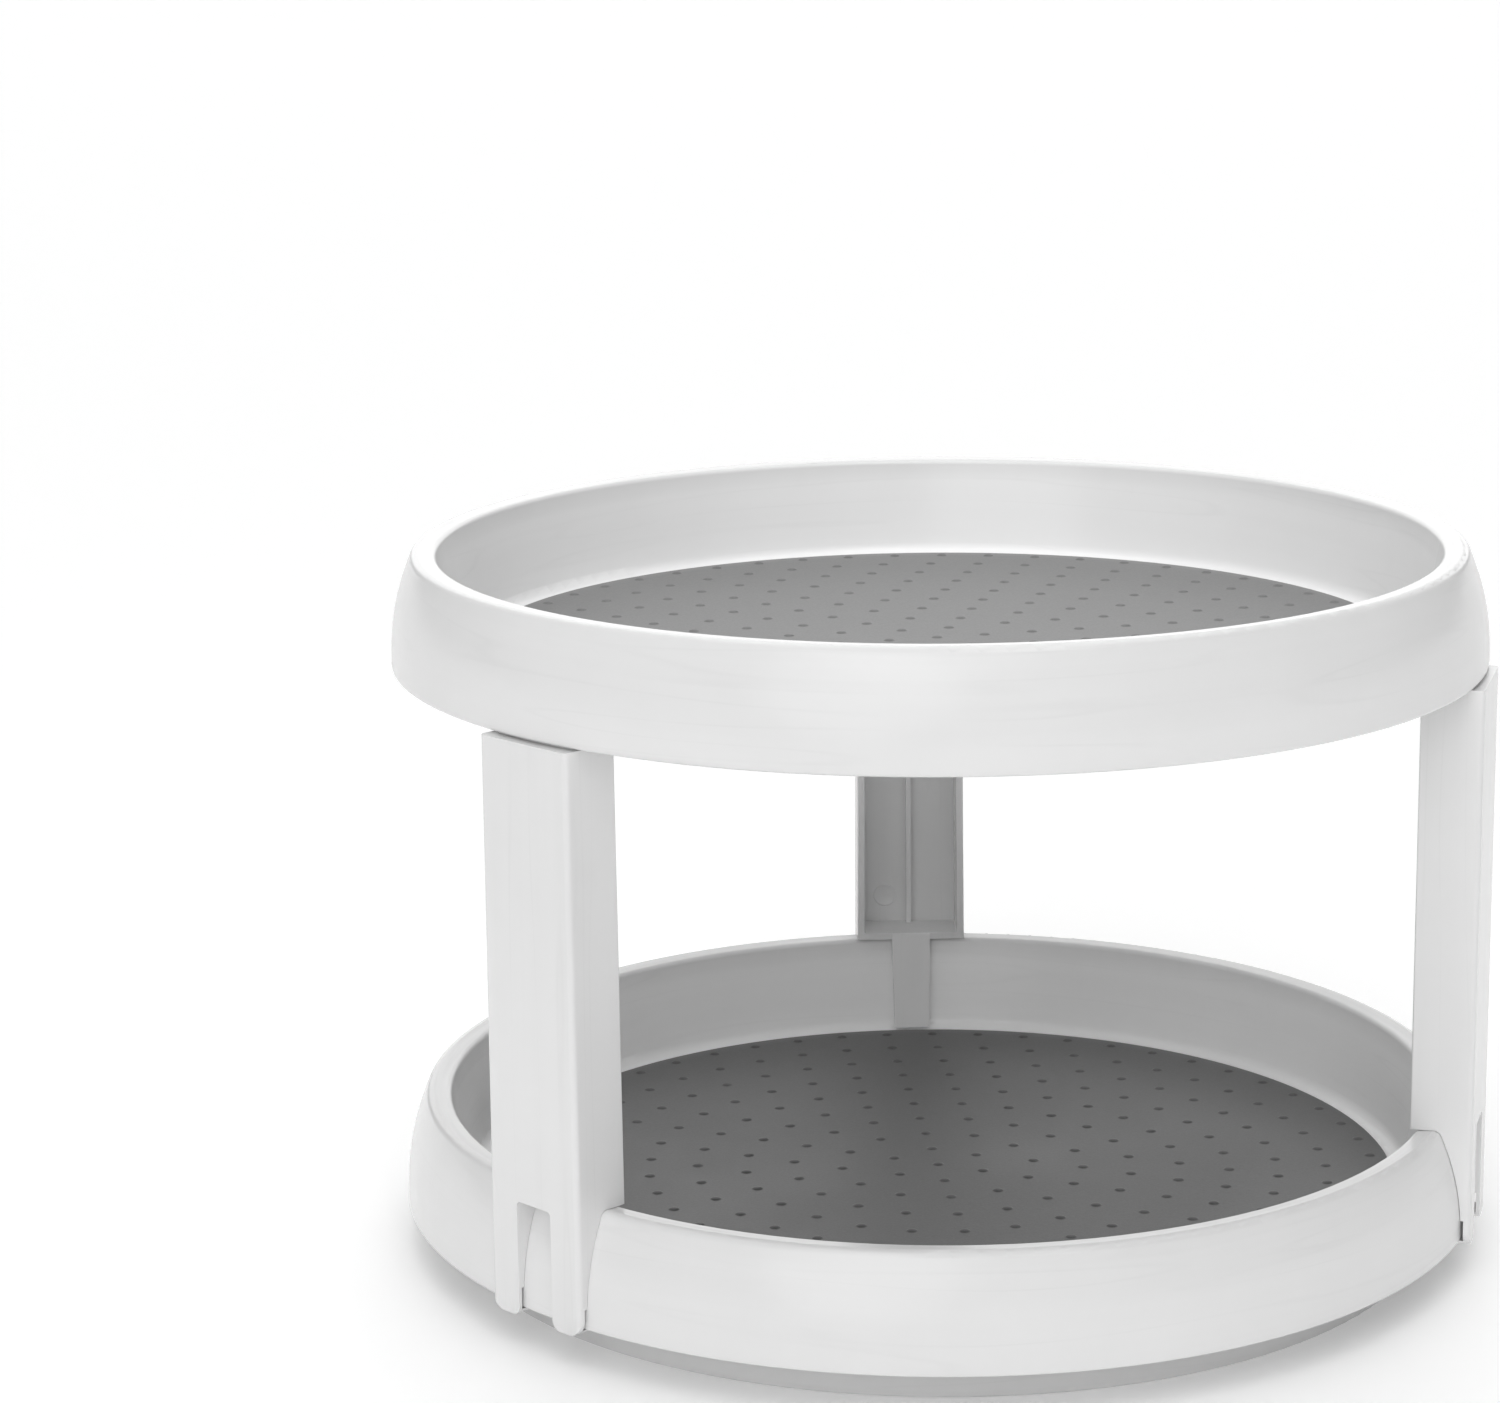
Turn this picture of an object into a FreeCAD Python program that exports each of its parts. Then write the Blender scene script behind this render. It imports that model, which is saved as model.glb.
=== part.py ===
import FreeCAD, Part
import math
import os

# Two-tier turntable.
# Two identical round trays stand on three clip-on legs and turn together on a shallow round base.
# Millimetres, +Z up. The origin is on the turning axis, on the surface that the foot pads stand on.
# Each piece is written as parts/NAME.step.

# Overall
TRAY_RADIUS = 152.4          # skirt's bottom edge, 12 in across
TIER_SPACING = 155.4         # from one tray's bottom edge to the other's
LOWER_TRAY_Z = 11.6          # lower tray's bottom edge above the table
UPPER_TRAY_Z = LOWER_TRAY_Z + TIER_SPACING
TRAY_LEVELS = {"lower": LOWER_TRAY_Z, "upper": UPPER_TRAY_Z}

# Tray moulding, heights above its own bottom edge
WALL = 2.0
FLOOR_TOP = WALL
FLOOR_EDGE_RADIUS = 134.2
RIM_INNER_RADIUS = 139.5
RIM_OUTER_RADIUS = 146.0
RIM_INNER_Z = 30.8
RIM_OUTER_Z = 31.3
RIM_CROWN_Z = 31.1           # the rim's highest point, inside its rounded shoulder
SKIRT_BEND_Z = 15.4
FLOOR_ROUND = 4.0
LIP_ROUND = 1.6
SHOULDER_ROUND = 2.4
SKIRT_ROUND = 65.0
HEM_ROUND = 0.8
HUB_ROUND = 0.5
STIFFENER_COUNT = 12
STIFFENER_WIDTH = 1.6
STIFFENER_DEPTH = 1.4
STIFFENER_OUTER_RADIUS = 128.0

# Mat
MAT_RADIUS = 130.0
MAT_THICKNESS = 1.2
MAT_EDGE_ROUND = 0.4
DOT_RINGS = 9
DOTS_IN_FIRST_RING = 6
DOT_RING_PITCH = 13.9
DOT_RADIUS = 1.25
DOT_HEIGHT = 0.5
DOT_SINK = 0.1               # how far a dot's solid starts below the mat's surface
MAT_TURN = {"lower": -22.5, "upper": 16.0}

# Legs
LEG_AZIMUTH = {"rear": 93.6, "left": 226.7, "right": 346.0}
LEG_FACE_X = 154.0           # flat outer face, from the axis
LEG_OPEN_X = 137.0           # open inner edge, from the axis
LEG_HALF_WIDTH = 17.4        # at the outer face, at the rim's height and below
LEG_TOP_HALF_WIDTH = 16.6
LEG_SIDE_CONVERGENCE = 0.01  # sideways per unit of depth, towards the axis
LEG_CORNER_ROUND = 1.5
LEG_EDGE_ROUND = 0.6
LEG_WALL = 2.2
LEG_SHELF = 2.1
LEG_BOTTOM_Z = 10.0
LEG_TOP_GAP = 0.8            # below the upper skirt
LEG_FIT = 0.1                # clearance to the tray that it clips on
LEG_BACK_START_X = 144.0     # below the shelf, the side walls start here, on the rim's crown
NOTCH_HALF_WIDTH = 6.6
NOTCH_TOP_Z = 42.0
NOTCH_ROUND = 1.3
PRONG_OUTER_ROUND = 4.5
PRONG_INNER_ROUND = 2.6
PRONG_WALL = 1.9
HOOK_INNER_RADIUS = 149.0
RELIEF_DEPTH = 0.7           # slot between each prong and the skirt's lower end, over the hook
RELIEF_HEIGHT = 6.0
SPINE_HALF_WIDTH = 0.8
SPINE_DEPTH = 2.6
CHANNEL_ROUND = 0.6
TAB_THICKNESS = 3.0
TAB_TOP_HALF_WIDTH = 6.2
TAB_BOTTOM_HALF_WIDTH = 5.5
TAB_BOTTOM_HEIGHT = 3.4      # above the tray's bottom edge
TAB_EDGE_ROUND = 0.4
TAB_END_ROUND = 0.8
TAB_BAND_SWEEP = 30.0        # of the curved band that the tab is trimmed from
PLUG_OUTER_RADIUS = TRAY_RADIUS - WALL - LEG_FIT
PLUG_DEPTH = 8.6
PLUG_HALF_ANGLE = 5.4
PLUG_HEIGHT = 13.0
PLUG_WALL = 1.8
PLUG_EDGE_ROUND = 0.8

# Base
BASE_RADIUS = 138.6
BASE_LIFT = 0.6              # rim's lower edge above the table
BASE_TOP_Z = 8.6
BASE_FLOOR_Z = 3.0
BASE_FLOOR_TOP_Z = 5.0
BASE_RIM_ROUND = 1.0
BASE_EDGE_ROUND = 0.4
BASE_RIB_COUNT = 6
BASE_RIB_WIDTH = 1.6
BASE_RIB_Z = 1.4
PAD_COUNT = 6
PAD_RADIUS = 9.0
PAD_CIRCLE_RADIUS = 118.0
PAD_CHAMFER = 0.5

# Ball bearing
RACE_RADIUS = 60.0
RACE_HALF_WIDTH = 4.5
BALL_COUNT = 16
BALL_RADIUS = 2.5
BALL_FIT = 0.06
BALL_Z = 8.25
LOWER_RACE_TOP_Z = 7.3
UPPER_RACE_BOTTOM_Z = 9.2
CAGE_BOTTOM_Z = 7.6
CAGE_TOP_Z = 8.9
CAGE_POCKET_FIT = 0.1

# Pivot
HUB_CUP_RADIUS = 11.5
HUB_CUP_FLOOR_TOP = -1.0     # heights above the tray's bottom edge
HUB_CUP_BOTTOM = -3.0
HUB_CUP_WALL = 2.5
POST_RADIUS = 4.5
POST_FIT = 0.1
HUB_END_PLAY = 0.1
POST_TOP_Z = LOWER_TRAY_Z + HUB_CUP_FLOOR_TOP + HUB_END_PLAY
SHOULDER_RADIUS = 9.0
SHOULDER_TOP_Z = 8.2
WASHER_RADIUS = 9.0
WASHER_THICKNESS = 1.0
SCREW_RADIUS = 2.0
SCREW_FIT = 0.05
SCREW_TIP_Z = 4.0
SCREW_BORE_BOTTOM_Z = 3.6
SCREW_HEAD_RADIUS = 4.2
SCREW_HEAD_HEIGHT = 1.7
SCREW_HEAD_ROUND = 1.0
SCREW_SLOT_HALF_WIDTH = 0.5
SCREW_SLOT_HALF_LENGTH = 2.3
SCREW_SLOT_DEPTH = 1.0

AXIS = FreeCAD.Vector(0, 0, 1)
CENTRE = FreeCAD.Vector(0, 0, 0)
MARGIN = 5.0                 # how far a cutting shape runs past what it cuts


def corner_arc(before, corner, after, radius):
    """Start, middle and end of the arc that rounds a corner between two straight runs."""
    to_before = (before - corner).normalize()
    to_after = (after - corner).normalize()
    half_angle = to_before.getAngle(to_after) / 2
    inward = (to_before + to_after).normalize()
    centre = corner + inward * (radius / math.sin(half_angle))
    run = radius / math.tan(half_angle)
    return corner + to_before * run, centre - inward * radius, corner + to_after * run


def outline_face(corners, lift):
    """Face inside a closed outline of (a, b, rounding) corners; lift turns (a, b) into a point."""
    points = [lift(a, b) for a, b, _ in corners]
    starts, ends, edges = [], [], []
    for index, (_, _, radius) in enumerate(corners):
        point = points[index]
        if radius <= 0:
            starts.append(point)
            ends.append(point)
            continue
        after = points[(index + 1) % len(points)]
        start, middle, end = corner_arc(points[index - 1], point, after, radius)
        starts.append(start)
        ends.append(end)
        edges.append(Part.Arc(start, middle, end).toShape())
    for index, start in enumerate(starts):
        if ends[index - 1].distanceToPoint(start) > 1e-6:
            edges.append(Part.LineSegment(ends[index - 1], start).toShape())
    return Part.Face(Part.Wire(Part.__sortEdges__(edges)))


def turned(corners, sweep=360.0, start=0.0):
    """Solid of revolution of a closed outline of (radius, z, rounding) corners."""
    face = outline_face(corners, lambda r, z: FreeCAD.Vector(r, 0, z))
    face.rotate(CENTRE, AXIS, start)
    return face.revolve(CENTRE, AXIS, sweep)


def ring(inner, outer, low, high):
    """Plain ring about the axis; a disc when inner is zero."""
    disc = Part.makeCylinder(outer, high - low, FreeCAD.Vector(0, 0, low))
    if inner <= 0:
        return disc
    hole = Part.makeCylinder(inner, high - low + 2 * MARGIN, FreeCAD.Vector(0, 0, low - MARGIN))
    return disc.cut(hole)


def block(x_range, half_width, z_range):
    """Box that is symmetric across the radial plane."""
    corner = FreeCAD.Vector(x_range[0], -half_width, z_range[0])
    return Part.makeBox(x_range[1] - x_range[0], 2 * half_width, z_range[1] - z_range[0], corner)


def turned_copy(shape, azimuth):
    """Copy of a shape, turned about the axis."""
    copy = shape.copy()
    copy.rotate(CENTRE, AXIS, azimuth)
    return copy


def around(shape, count, first=0.0):
    """Copies of a shape spread evenly about the axis."""
    return [turned_copy(shape, first + index * 360.0 / count) for index in range(count)]


def moved_up(shape, height):
    """Copy of a shape, lifted."""
    copy = shape.copy()
    copy.translate(FreeCAD.Vector(0, 0, height))
    return copy


def beside(corners, distance):
    """Open outline moved sideways, to the left of its own direction, with its roundings kept parallel."""
    runs = []
    for (r0, z0, _), (r1, z1, _) in zip(corners, corners[1:]):
        length = math.hypot(r1 - r0, z1 - z0)
        runs.append(((r1 - r0) / length, (z1 - z0) / length))
    moved = []
    for index, (r, z, radius) in enumerate(corners):
        (ar, az), (br, bz) = runs[max(index - 1, 0)], runs[min(index, len(runs) - 1)]
        spread = 1 + ar * br + az * bz
        turn = ar * bz - az * br
        shift = distance / spread
        rounding = radius - math.copysign(distance, turn) if radius > 0 else 0.0
        moved.append((r - (az + bz) * shift, z + (ar + br) * shift, max(rounding, 0.0)))
    return moved


def tray_line(start_radius):
    """The tray's upper surface, from the floor out over the rim and down to the skirt's bottom edge."""
    return [
        (start_radius, FLOOR_TOP, 0.0),
        (FLOOR_EDGE_RADIUS, FLOOR_TOP, FLOOR_ROUND),
        (RIM_INNER_RADIUS, RIM_INNER_Z, LIP_ROUND),
        (RIM_OUTER_RADIUS, RIM_OUTER_Z, SHOULDER_ROUND),
        (TRAY_RADIUS, SKIRT_BEND_Z, SKIRT_ROUND),
        (TRAY_RADIUS, 0.0, 0.0),
    ]


def with_end_rounding(corners, radius):
    """The same outline with a rounding on its last corner."""
    r, z, _ = corners[-1]
    return corners[:-1] + [(r, z, radius)]


def race_groove(z):
    """Torus that cuts a ball groove whose ball centres are at height z."""
    return Part.makeTorus(RACE_RADIUS, BALL_RADIUS + BALL_FIT, FreeCAD.Vector(0, 0, z), AXIS)


def make_tray():
    """One tray, with its bottom edge at height zero."""
    upper = with_end_rounding(tray_line(HUB_CUP_RADIUS), HEM_ROUND)
    under = with_end_rounding(beside(tray_line(HUB_CUP_RADIUS), -WALL), HEM_ROUND / 2)
    shell = turned(upper + under[::-1])
    cup = turned([
        (POST_RADIUS + POST_FIT, HUB_CUP_BOTTOM, 0.0),
        (HUB_CUP_RADIUS + HUB_CUP_WALL, HUB_CUP_BOTTOM, HUB_ROUND),
        (HUB_CUP_RADIUS + HUB_CUP_WALL, FLOOR_TOP, 0.0),
        (HUB_CUP_RADIUS, FLOOR_TOP, 0.0),
        (HUB_CUP_RADIUS, HUB_CUP_FLOOR_TOP, HUB_ROUND),
        (POST_RADIUS + POST_FIT, HUB_CUP_FLOOR_TOP, 0.0),
    ])
    race = ring(RACE_RADIUS - RACE_HALF_WIDTH, RACE_RADIUS + RACE_HALF_WIDTH,
                UPPER_RACE_BOTTOM_Z - LOWER_TRAY_Z, FLOOR_TOP / 2)
    stiffener = block((HUB_CUP_RADIUS + HUB_CUP_WALL / 2, STIFFENER_OUTER_RADIUS),
                      STIFFENER_WIDTH / 2, (-STIFFENER_DEPTH, FLOOR_TOP / 2))
    tray = shell.multiFuse([cup, race] + around(stiffener, STIFFENER_COUNT))
    return tray.cut(race_groove(BALL_Z - LOWER_TRAY_Z)).removeSplitter()


def make_mat():
    """Soft disc with raised dots in rings about its centre, lying at height zero."""
    disc = turned([
        (0.0, 0.0, 0.0),
        (MAT_RADIUS, 0.0, 0.0),
        (MAT_RADIUS, MAT_THICKNESS, MAT_EDGE_ROUND),
        (0.0, MAT_THICKNESS, 0.0),
    ])
    sphere_radius = (DOT_RADIUS ** 2 + DOT_HEIGHT ** 2) / (2 * DOT_HEIGHT)
    base_latitude = math.degrees(math.asin((sphere_radius - DOT_HEIGHT - DOT_SINK) / sphere_radius))
    centre_z = MAT_THICKNESS + DOT_HEIGHT - sphere_radius
    dot = Part.makeSphere(sphere_radius, FreeCAD.Vector(0, 0, centre_z), AXIS, base_latitude, 90, 360)
    dots = [dot]
    for number in range(1, DOT_RINGS + 1):
        outer_dot = dot.copy()
        outer_dot.translate(FreeCAD.Vector(number * DOT_RING_PITCH, 0, 0))
        dots += around(outer_dot, DOTS_IN_FIRST_RING * number)
    return disc.multiFuse(dots)


def leg_half_width(x, z):
    """Half the leg's width at depth x and height z."""
    taper = (LEG_HALF_WIDTH - LEG_TOP_HALF_WIDTH) / TIER_SPACING
    at_face = LEG_HALF_WIDTH - taper * (z - LOWER_TRAY_Z)
    return at_face - LEG_SIDE_CONVERGENCE * (LEG_FACE_X - x)


def leg_plan(z):
    """The leg's outline in plan at height z, on the +X side of the axis."""
    face_half = leg_half_width(LEG_FACE_X, z)
    open_half = leg_half_width(LEG_OPEN_X, z)
    corners = [
        (LEG_FACE_X, -face_half, LEG_CORNER_ROUND),
        (LEG_FACE_X, face_half, LEG_CORNER_ROUND),
        (LEG_OPEN_X, open_half, LEG_EDGE_ROUND),
        (LEG_OPEN_X, -open_half, LEG_EDGE_ROUND),
    ]
    return outline_face(corners, lambda x, y: FreeCAD.Vector(x, y, z)).OuterWire


def leg_front():
    """The leg seen from outside, as a slab: notch and two round-ended prongs at its lower end."""
    top = UPPER_TRAY_Z
    half = LEG_HALF_WIDTH
    corners = [
        (-half, LEG_BOTTOM_Z, PRONG_OUTER_ROUND),
        (-NOTCH_HALF_WIDTH, LEG_BOTTOM_Z, PRONG_INNER_ROUND),
        (-NOTCH_HALF_WIDTH, NOTCH_TOP_Z, NOTCH_ROUND),
        (NOTCH_HALF_WIDTH, NOTCH_TOP_Z, NOTCH_ROUND),
        (NOTCH_HALF_WIDTH, LEG_BOTTOM_Z, PRONG_INNER_ROUND),
        (half, LEG_BOTTOM_Z, PRONG_OUTER_ROUND),
        (half, top, 0.0),
        (-half, top, 0.0),
    ]
    face = outline_face(corners, lambda y, z: FreeCAD.Vector(LEG_OPEN_X - MARGIN, y, z))
    return face.extrude(FreeCAD.Vector(LEG_FACE_X - LEG_OPEN_X + 2 * MARGIN, 0, 0))


def tray_space():
    """Everything that the lower tray's rim and the gap under it take from a leg."""
    line = [(r, z + LOWER_TRAY_Z, radius) for r, z, radius in beside(tray_line(SHOULDER_RADIUS), LEG_FIT)]
    edge_r, _, _ = line[-1]
    under_hook = LEG_BOTTOM_Z - MARGIN
    hem_z = LOWER_TRAY_Z - LEG_FIT
    return turned(line[:-1] + [
        (edge_r, hem_z, 0.0),
        (HOOK_INNER_RADIUS, hem_z, 0.0),
        (HOOK_INNER_RADIUS, under_hook, 0.0),
        (SHOULDER_RADIUS, under_hook, 0.0),
    ])


def leg_tab(shelf_top):
    """Tab that runs down the inside of the rim, narrower towards its end."""
    near_low, near_high = beside(tray_line(SHOULDER_RADIUS), LEG_FIT)[1:3]
    far_low, far_high = beside(tray_line(SHOULDER_RADIUS), LEG_FIT + TAB_THICKNESS)[1:3]
    lift = LOWER_TRAY_Z
    bottom = lift + TAB_BOTTOM_HEIGHT
    lean = (far_high[0] - far_low[0]) / (far_high[1] - far_low[1])
    far_bottom_radius = far_low[0] + lean * (TAB_BOTTOM_HEIGHT - far_low[1])
    start_radius = near_low[0] - 2 * near_low[2]
    band = turned([
        (start_radius, near_low[1] + lift, 0.0),
        (near_low[0], near_low[1] + lift, near_low[2]),
        (near_high[0], near_high[1] + lift, 0.0),
        (near_high[0], shelf_top, 0.0),
        (far_high[0], shelf_top, TAB_EDGE_ROUND),
        (far_bottom_radius, bottom, 0.0),
        (start_radius, bottom, 0.0),
    ], TAB_BAND_SWEEP, -TAB_BAND_SWEEP / 2)
    side = [
        (-TAB_BOTTOM_HALF_WIDTH, bottom, TAB_END_ROUND),
        (TAB_BOTTOM_HALF_WIDTH, bottom, TAB_END_ROUND),
        (TAB_TOP_HALF_WIDTH, shelf_top + MARGIN, 0.0),
        (-TAB_TOP_HALF_WIDTH, shelf_top + MARGIN, 0.0),
    ]
    face = outline_face(side, lambda y, z: FreeCAD.Vector(LEG_OPEN_X - 3 * MARGIN, y, z))
    return band.common(face.extrude(FreeCAD.Vector(6 * MARGIN, 0, 0)))


def leg_plug(bottom):
    """Hollow plug on the leg's top, which fits up inside the upper tray's skirt."""
    top = UPPER_TRAY_Z + PLUG_HEIGHT
    outer, inner = PLUG_OUTER_RADIUS, PLUG_OUTER_RADIUS - PLUG_DEPTH
    sweep = 2 * PLUG_HALF_ANGLE
    wall_angle = math.degrees(PLUG_WALL / outer)
    body = turned([(inner, bottom, 0), (outer + MARGIN, bottom, 0),
                   (outer + MARGIN, top, 0), (inner, top, PLUG_EDGE_ROUND)],
                  sweep, -PLUG_HALF_ANGLE)
    hollow = turned([(inner + PLUG_WALL, UPPER_TRAY_Z, 0), (outer - PLUG_WALL, UPPER_TRAY_Z, 0),
                     (outer - PLUG_WALL, top + MARGIN, 0), (inner + PLUG_WALL, top + MARGIN, 0)],
                    sweep - 2 * wall_angle, wall_angle - PLUG_HALF_ANGLE)
    shoulder, bend, _ = beside(tray_line(SHOULDER_RADIUS), -(WALL + LEG_FIT))[3:]
    within_skirt = turned([
        (inner - MARGIN, bottom, 0.0),
        (bend[0], bottom, 0.0),
        (bend[0], bend[1] + UPPER_TRAY_Z, bend[2]),
        (shoulder[0], shoulder[1] + UPPER_TRAY_Z, 0.0),
        (inner - MARGIN, shoulder[1] + UPPER_TRAY_Z, 0.0),
    ])
    return body.common(within_skirt).cut(hollow)


def make_leg():
    """One leg, on the +X side of the axis."""
    top = UPPER_TRAY_Z - LEG_TOP_GAP
    shelf_bottom = LOWER_TRAY_Z + RIM_CROWN_Z + LEG_FIT
    shelf_top = shelf_bottom + LEG_SHELF
    channel_top = top - LEG_SHELF
    body = Part.makeLoft([leg_plan(LEG_BOTTOM_Z), leg_plan(top)], True, True)
    body = body.common(leg_front())
    back_x = LEG_FACE_X - LEG_WALL
    low_half = leg_half_width(LEG_OPEN_X, shelf_top) - LEG_WALL
    high_half = leg_half_width(LEG_OPEN_X, channel_top) - LEG_WALL
    channel_sides = [
        (-low_half, shelf_top, CHANNEL_ROUND),
        (low_half, shelf_top, CHANNEL_ROUND),
        (high_half, channel_top, CHANNEL_ROUND),
        (-high_half, channel_top, CHANNEL_ROUND),
    ]
    channel_face = outline_face(channel_sides, lambda y, z: FreeCAD.Vector(LEG_OPEN_X - MARGIN, y, z))
    channel = channel_face.extrude(FreeCAD.Vector(back_x - LEG_OPEN_X + MARGIN, 0, 0))
    spine = block((back_x - SPINE_DEPTH, back_x + LEG_WALL / 2), SPINE_HALF_WIDTH, (shelf_top, channel_top))
    below_shelf = block((LEG_OPEN_X - MARGIN, LEG_BACK_START_X), 2 * LEG_HALF_WIDTH,
                        (LEG_BOTTOM_Z - MARGIN, shelf_bottom))
    pocket_inner = NOTCH_HALF_WIDTH + PRONG_WALL
    pocket_outer = leg_half_width(LEG_BACK_START_X, shelf_bottom) - PRONG_WALL
    pocket = Part.makeBox(back_x - LEG_BACK_START_X, pocket_outer - pocket_inner,
                          shelf_bottom - LEG_SHELF - LOWER_TRAY_Z,
                          FreeCAD.Vector(LEG_BACK_START_X, pocket_inner, LOWER_TRAY_Z))
    other_pocket = pocket.mirror(CENTRE, FreeCAD.Vector(0, 1, 0))
    relief = ring(TRAY_RADIUS - MARGIN, TRAY_RADIUS + LEG_FIT + RELIEF_DEPTH,
                  LOWER_TRAY_Z - LEG_FIT, LOWER_TRAY_Z + RELIEF_HEIGHT)
    body = body.cut([channel.cut(spine), below_shelf, pocket, other_pocket, tray_space(), relief])
    return body.multiFuse([leg_tab(shelf_top), leg_plug(channel_top)]).removeSplitter()


def make_base():
    """Shallow stationary base with the lower ball race and the centre post."""
    rim_inner = BASE_RADIUS - WALL
    plate = turned([
        (0.0, BASE_FLOOR_Z, 0.0),
        (rim_inner, BASE_FLOOR_Z, 0.0),
        (rim_inner, BASE_LIFT, BASE_EDGE_ROUND),
        (BASE_RADIUS, BASE_LIFT, BASE_EDGE_ROUND),
        (BASE_RADIUS, BASE_TOP_Z, BASE_RIM_ROUND),
        (rim_inner, BASE_TOP_Z, BASE_EDGE_ROUND),
        (rim_inner, BASE_FLOOR_TOP_Z, BASE_RIM_ROUND),
        (0.0, BASE_FLOOR_TOP_Z, 0.0),
    ])
    inside = (BASE_FLOOR_Z + BASE_FLOOR_TOP_Z) / 2
    race = ring(RACE_RADIUS - RACE_HALF_WIDTH, RACE_RADIUS + RACE_HALF_WIDTH, inside, LOWER_RACE_TOP_Z)
    shoulder = ring(0, SHOULDER_RADIUS, inside, SHOULDER_TOP_Z)
    post = ring(0, POST_RADIUS, inside, POST_TOP_Z)
    rib = block((0, rim_inner + WALL / 2), BASE_RIB_WIDTH / 2, (BASE_RIB_Z, inside))
    ribs = around(rib, BASE_RIB_COUNT, 180.0 / BASE_RIB_COUNT)
    bore = ring(0, SCREW_RADIUS + SCREW_FIT, SCREW_BORE_BOTTOM_Z, POST_TOP_Z + MARGIN)
    return plate.multiFuse([race, shoulder, post] + ribs).cut([race_groove(BALL_Z), bore]).removeSplitter()


def make_pad():
    """Foot pad on the +X side of the axis."""
    pad = Part.makeCylinder(PAD_RADIUS, BASE_FLOOR_Z, FreeCAD.Vector(PAD_CIRCLE_RADIUS, 0, 0))
    lower_edge = min(pad.Edges, key=lambda edge: edge.CenterOfMass.z)
    return pad.makeChamfer(PAD_CHAMFER, [lower_edge])


def make_cage():
    """Ring that keeps the balls apart."""
    cage = ring(RACE_RADIUS - RACE_HALF_WIDTH, RACE_RADIUS + RACE_HALF_WIDTH, CAGE_BOTTOM_Z, CAGE_TOP_Z)
    pocket = Part.makeCylinder(BALL_RADIUS + CAGE_POCKET_FIT, CAGE_TOP_Z, FreeCAD.Vector(RACE_RADIUS, 0, 0))
    return cage.cut(around(pocket, BALL_COUNT))


def make_ball():
    """Bearing ball on the +X side of the axis."""
    return Part.makeSphere(BALL_RADIUS, FreeCAD.Vector(RACE_RADIUS, 0, BALL_Z))


def make_washer():
    """Washer on the post's end, over the hub's floor."""
    return ring(SCREW_RADIUS + SCREW_FIT, WASHER_RADIUS, POST_TOP_Z, POST_TOP_Z + WASHER_THICKNESS)


def make_screw():
    """Pan-head screw with a cross recess, down into the post."""
    seat = POST_TOP_Z + WASHER_THICKNESS
    head_top = seat + SCREW_HEAD_HEIGHT
    body = turned([
        (0.0, SCREW_TIP_Z, 0.0),
        (SCREW_RADIUS, SCREW_TIP_Z, SCREW_RADIUS / 4),
        (SCREW_RADIUS, seat, 0.0),
        (SCREW_HEAD_RADIUS, seat, 0.0),
        (SCREW_HEAD_RADIUS, head_top, SCREW_HEAD_ROUND),
        (0.0, head_top, 0.0),
    ])
    slot = block((-SCREW_SLOT_HALF_LENGTH, SCREW_SLOT_HALF_LENGTH), SCREW_SLOT_HALF_WIDTH,
                 (head_top - SCREW_SLOT_DEPTH, head_top + MARGIN))
    return body.cut(around(slot, 4))


def pieces():
    """Every piece of the turntable, by name."""
    made = {"base_plate": make_base(), "ball_cage": make_cage(),
            "pivot_washer": make_washer(), "pivot_screw": make_screw()}
    tray, mat, leg = make_tray(), make_mat(), make_leg()
    for tier, level in TRAY_LEVELS.items():
        made[f"{tier}_tray"] = moved_up(tray, level)
        made[f"{tier}_mat"] = turned_copy(moved_up(mat, level + FLOOR_TOP), MAT_TURN[tier])
    for side, azimuth in LEG_AZIMUTH.items():
        made[f"{side}_leg"] = turned_copy(leg, azimuth)
    for number, pad in enumerate(around(make_pad(), PAD_COUNT), 1):
        made[f"foot_pad_{number}"] = pad
    for number, ball in enumerate(around(make_ball(), BALL_COUNT), 1):
        made[f"ball_{number:02d}"] = ball
    return made


os.makedirs("parts", exist_ok=True)
for name, shape in pieces().items():
    if len(shape.Solids) != 1 or not shape.isValid():
        raise ValueError(f"{name}: {len(shape.Solids)} solids, valid {shape.isValid()}")
    shape.Solids[0].exportStep(f"parts/{name}.step")
    box = shape.optimalBoundingBox(False, False)
    print(f"{name}: {shape.Volume:.0f} mm3, z {box.ZMin:.2f} to {box.ZMax:.2f}")
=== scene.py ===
import bpy
import bmesh
import math
from mathutils import Matrix, Vector, geometry


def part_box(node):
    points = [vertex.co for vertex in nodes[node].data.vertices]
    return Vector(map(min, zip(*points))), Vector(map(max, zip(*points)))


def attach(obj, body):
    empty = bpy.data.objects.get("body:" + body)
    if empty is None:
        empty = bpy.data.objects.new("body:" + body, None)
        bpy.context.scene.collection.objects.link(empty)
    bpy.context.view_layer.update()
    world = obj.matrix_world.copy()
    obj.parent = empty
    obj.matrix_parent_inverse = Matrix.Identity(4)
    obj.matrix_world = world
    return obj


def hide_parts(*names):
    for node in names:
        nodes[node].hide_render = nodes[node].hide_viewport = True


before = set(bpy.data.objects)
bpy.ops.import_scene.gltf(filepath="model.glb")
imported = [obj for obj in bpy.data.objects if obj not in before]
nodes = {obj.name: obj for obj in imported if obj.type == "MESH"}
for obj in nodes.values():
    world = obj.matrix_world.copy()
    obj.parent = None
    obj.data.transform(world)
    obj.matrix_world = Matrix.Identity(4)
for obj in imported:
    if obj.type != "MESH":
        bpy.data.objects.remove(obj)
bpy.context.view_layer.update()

scene = bpy.context.scene
MM = 0.001

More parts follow.
